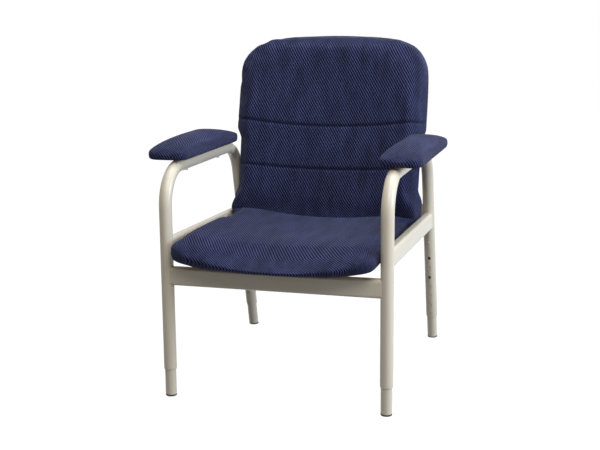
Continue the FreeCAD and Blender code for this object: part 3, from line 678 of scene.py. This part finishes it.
    def lay_cloth(self, pad: bpy.types.Object) -> None:
        """Lays the weave over the pad: flat across its face and down over its edges.

        Args:
            pad: the pad.
        """
        across = self.along.cross(self.out).normalized()
        centre = (self.low + self.high) / 2
        spots = [vert.co - centre for vert in pad.data.vertices]
        half_across = max(abs(spot.dot(across)) for spot in spots)
        half_along = max(abs(spot.dot(self.along)) for spot in spots)
        crown = max(spot.dot(self.out) for spot in spots)
        flat = []
        for spot in spots:
            u, v = spot.dot(across), spot.dot(self.along)
            drop = crown - spot.dot(self.out)
            over_side = smoothstep(self.edge_from, 1.0, abs(u) / half_across)
            over_end = smoothstep(self.edge_from, 1.0, abs(v) / half_along)
            drop /= max(math.hypot(over_side, over_end), 1.0)
            flat.append((u + math.copysign(drop * over_side, u), v + math.copysign(drop * over_end, v)))
        layer = pad.data.uv_layers.new(name=self.CLOTH_MAP)
        for loop in pad.data.loops:
            layer.data[loop.index].uv = flat[loop.vertex_index]


@dataclass
class SeatCushion(Cushion):
    """The dished seat, rolled down to its nose and hollowed where it meets the backrest."""

    roll_run: float = 0.190
    roll_edge: float = 0.014
    roll_middle: float = 0.026
    nose_run: float = 0.080
    nose_rounding: int = 45
    hollow: float = 0.003
    under_wrap: float = 0.002
    under_tuck: float = 0.018
    proud: tuple[float, float, float] = (0.0, 0.0, 0.003)
    tilt: float = 0.004
    meeting: float = 0.035

    def freedom(self, spot: Vector) -> float:
        """Tells how freely the seat may leave its solid at a point.

        Args:
            spot: point on the surface.

        Returns:
            0 at the rear edge, which lies against the backrest, and 1 forward of it.
        """
        return smoothstep(0.0, self.meeting, self.high.y - spot.y)

    def form(self, pad: bpy.types.Object) -> None:
        """Rolls the front down, rounds the nose and hollows the rear.

        Args:
            pad: the seat.
        """
        low, high = self.low, self.high
        half = high.x
        crown = max(vert.co.z for vert in pad.data.vertices if abs(vert.co.x) < self.voxel * 2)
        thick = crown - low.z
        for vert in pad.data.vertices:
            spot = vert.co
            outward = min(abs(spot.x) / half, 1.0)
            surface = crown + (high.z - crown) * outward ** 2
            share = smoothstep(0.0, 1.0, (spot.z - surface + thick) / thick)
            forward = max(low.y + self.roll_run - spot.y, 0.0) / self.roll_run
            roll = self.roll_middle + (self.roll_edge - self.roll_middle) * outward ** 2
            rearward = smoothstep(low.y, high.y, spot.y)
            spot.z -= share * (roll * forward ** 2 + self.hollow * rearward * (1 - outward ** 2))
            near = 1 - smoothstep(0.0, self.nose_run, spot.y - low.y)
            spot.z -= (1 - share) * self.under_wrap * near
            spot.z -= share * self.tilt * spot.x / half
            spot.y += (1 - share) ** 2 * self.under_tuck * near
        self.round_nose(pad, low.y)

    def round_nose(self, pad: bpy.types.Object, tip: float) -> None:
        """Rounds the nose into one soft roll.

        Args:
            pad: the seat.
            tip: y of the nose's foremost point.
        """
        shape = bmesh.new()
        shape.from_mesh(pad.data)
        starts = [vert.co.copy() for vert in shape.verts]
        for _ in range(self.nose_rounding):
            self.smooth(shape)
        for vert, start in zip(shape.verts, starts):
            near = 1 - smoothstep(0.0, self.nose_run, start.y - tip)
            vert.co = start.lerp(vert.co, near)
        shape.to_mesh(pad.data)
        shape.free()


@dataclass
class BackCushion(Cushion):
    """The backrest, sewn across in two sagging lines above and below the small of the back."""

    seam_lines: tuple[tuple[float, float], ...] = ((0.151, 0.010), (0.277, 0.017))
    seam_width: float = 0.0045
    seam_depth: float = 0.0035
    meeting: float = 0.055
    foot_run: float = 0.090
    foot_drop: float = 0.020
    pinch: float = 0.0118
    pinch_share: float = 0.25
    pinch_ease: float = 0.035
    proud: tuple[float, float, float] = (0.011, 0.0, 0.0)
    # strength and falloff of the painted shade along the seam creases
    seam_shade_strength: float = 0.8
    seam_shade_falloff: int = 3
    facing_low: float = 0.1
    facing_high: float = 0.6

    def __post_init__(self) -> None:
        """Notes where the foot of the backrest is along its rake."""
        super().__post_init__()
        self.foot = min(vert.co.dot(self.along) for vert in frame["nodes"][self.node].data.vertices)

    def freedom(self, spot: Vector) -> float:
        """Tells how freely the backrest may leave its solid at a point.

        Args:
            spot: point on the surface.

        Returns:
            0 at the foot, which lies against the seat, and 1 above it.
        """
        return smoothstep(0.0, self.meeting, spot.dot(self.along) - self.foot)

    def finish(self, pad: bpy.types.Object) -> None:
        """Draws the foot down behind the seat, and pinches the sides between the arm tubes.

        Args:
            pad: the backrest.
        """
        pinch_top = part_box("side_frame_right")[1].z
        pinch_foot = pinch_top - (self.high.z - self.low.z) * self.pinch_share
        half = max(abs(vert.co.x) for vert in pad.data.vertices)
        for vert in pad.data.vertices:
            up = vert.co.dot(self.along) - self.foot
            vert.co -= self.along * (self.foot_drop * (1 - smoothstep(0.0, self.foot_run, up)))
            pressed = smoothstep(pinch_foot - self.pinch_ease, pinch_foot, vert.co.z)
            pressed -= smoothstep(pinch_top, pinch_top + self.pinch_ease, vert.co.z)
            vert.co.x -= vert.co.x / half * self.pinch * pressed

    def sew(self, pad: bpy.types.Object) -> None:
        """Pulls two lines of stitching into the front of the backrest, and paints shade along their creases.

        Args:
            pad: the backrest.
        """
        super().sew(pad)
        half = self.high.x
        foot = min(vert.co.dot(self.along) for vert in pad.data.vertices)
        normals = [vert.normal.copy() for vert in pad.data.vertices]
        shade_weights = []
        for vert, normal in zip(pad.data.vertices, normals):
            up = vert.co.dot(self.along) - foot
            facing = smoothstep(self.facing_low, self.facing_high, normal.dot(self.out))
            pull = 0.0
            for height, sag in self.seam_lines:
                line = height - sag * (1 - (vert.co.x / half) ** 2)
                pull += math.exp(-((up - line) / self.seam_width) ** 2)
            shade_weights.append(pull * facing)
            vert.co -= normal * (self.seam_depth * pull * facing)
        # painted shade: stores how much the cloth darkens in each seam crease, standing in for the shadow of
        # the fold
        shade_layer = pad.data.attributes[self.SEAM_SHADE]
        for shade_point, depth in zip(shade_layer.data, shade_weights):
            shade_point.value = min(depth ** self.seam_shade_falloff * self.seam_shade_strength, self.seam_shade_strength)


@dataclass
class ArmPad(Cushion):
    """One boat-shaped arm pad."""

    voxel: float = 0.004
    trim: float = 0.003
    swell: float = 0.007


# ---- studio -------------------------------------------------------------------------------------
@dataclass(frozen=True)
class Lamp:
    """A large soft lamp aimed at the chair."""

    name: str
    place: tuple[float, float, float]
    watts: float
    size: float
    colour: Colour = WHITE
    aim: tuple[float, float, float] = (0.0, 0.0, 0.45)

    def make(self) -> None:
        """Hangs the lamp."""
        light = bpy.data.lights.new(self.name, "AREA")
        light.energy = self.watts
        light.size = self.size
        light.color = self.colour
        lamp = bpy.data.objects.new(self.name, light)
        lamp.location = self.place
        lamp.rotation_mode = "QUATERNION"
        lamp.rotation_quaternion = (Vector(self.aim) - Vector(self.place)).to_track_quat("-Z", "Y")
        bpy.context.scene.collection.objects.link(lamp)


@dataclass(frozen=True)
class Viewpoint:
    """Where the camera stands and how it is turned, in degrees."""

    place: tuple[float, float, float] = (0.79145, -2.79799, 0.97586)
    yaw: float = 16.198
    pitch: float = 11.404
    roll: float = 0.506
    lens: float = 67.893
    sensor: float = 36.0

    def make(self) -> None:
        """Sets up the scene's camera."""
        yaw, pitch, roll = (math.radians(angle) for angle in (self.yaw, self.pitch, self.roll))
        ahead = Vector((-math.sin(yaw) * math.cos(pitch), math.cos(yaw) * math.cos(pitch), -math.sin(pitch)))
        right = Vector((math.cos(yaw), math.sin(yaw), 0.0))
        down = ahead.cross(right)
        x_axis = right * math.cos(roll) + down * math.sin(roll)
        y_axis = right * math.sin(roll) - down * math.cos(roll)
        turn = Matrix((x_axis, y_axis, -ahead)).transposed()
        lens = bpy.data.cameras.new("camera")
        lens.lens = self.lens
        lens.sensor_width = self.sensor
        camera = bpy.data.objects.new("camera", lens)
        camera.matrix_world = Matrix.Translation(self.place) @ turn.to_4x4()
        bpy.context.scene.collection.objects.link(camera)
        bpy.context.scene.camera = camera


@dataclass
class Studio:
    """White floor, even surrounding light, a strong lamp on the sitter's left and the camera."""

    floor_size: float = 14.0
    floor_colour: float = 0.14
    floor_lift: float = 0.97
    surround: float = 0.17
    surround_colour: Colour = (1.0, 0.90, 0.76)
    key: Lamp = Lamp("key_lamp", (3.6, -0.2, 1.7), 105.0, 1.6, (0.80, 0.89, 1.0))
    top: Lamp = Lamp("top_lamp", (0.4, 0.2, 3.4), 52.0, 2.2, (0.93, 0.96, 1.0))
    front: Lamp = Lamp("front_lamp", (0.9, -1.7, 2.4), 27.0, 1.2, (1.0, 0.97, 0.92))

    def build(self) -> None:
        """Sets the whole studio up."""
        self.lay_floor()
        self.light_surround()
        self.key.make()
        self.top.make()
        self.front.make()
        Viewpoint().make()
        bpy.context.scene.view_settings.view_transform = "Standard"
        LOG.info("studio is up")

    def lay_floor(self) -> None:
        """Lays a plain white floor that keeps the chair's shadow."""
        form = bmesh.new()
        bmesh.ops.create_grid(form, x_segments=1, y_segments=1, size=self.floor_size / 2)
        mesh = bpy.data.meshes.new("floor")
        form.to_mesh(mesh)
        form.free()
        floor = bpy.data.objects.new("floor", mesh)
        bpy.context.scene.collection.objects.link(floor)
        tree = ShaderTree("floor_white")
        lift = tree.add("Math", {0: tree.seen(), 1: self.floor_lift}, operation="MULTIPLY").outputs[0]
        tree.put(tree.shader, "Base Color", (self.floor_colour,) * 3 + (1.0,))
        tree.put(tree.shader, "Roughness", 0.9)
        tree.put(tree.shader, "Specular IOR Level", 0.1)
        tree.put(tree.shader, "Emission Color", (*WHITE, 1.0))
        tree.put(tree.shader, "Emission Strength", lift)
        floor.data.materials.append(tree.material)

    def light_surround(self) -> None:
        """Surrounds the chair with soft light that looks white to the camera."""
        world = bpy.data.worlds.new("surround")
        bpy.context.scene.world = world
        world.use_nodes = True
        tree = NodeTree(world.node_tree)
        sky = tree.nodes["Background"]
        seen = tree.seen()
        tree.put(sky, "Strength", tree.spread(seen, self.surround, 1.0))
        tree.put(sky, "Color", tree.blend(seen, self.surround_colour, WHITE))


def main() -> None:
    """Builds the dressed chair and its studio."""
    logging.basicConfig(level=logging.INFO)
    wardrobe = Wardrobe()
    wardrobe.dress_nodes()
    up = Vector((0.0, 0.0, 1.0))
    back = Vector((0.0, 1.0, 0.0))
    rake = Vector((0.0, math.sin(BACK_LEAN), math.cos(BACK_LEAN)))
    forward = Vector((0.0, -math.cos(BACK_LEAN), math.sin(BACK_LEAN)))
    cushions = [
        SeatCushion("seat_cushion", "seat_cover", up, back),
        BackCushion("back_cushion", "back_cover", forward, rake),
    ]
    for side in Side:
        cushions.append(ArmPad("arm_pad_" + side.suffix, "arm_cover_" + side.suffix, up, back))
    for cushion in cushions:
        cushion.build(wardrobe)
    Studio().build()


if __name__ == "__main__":
    main()
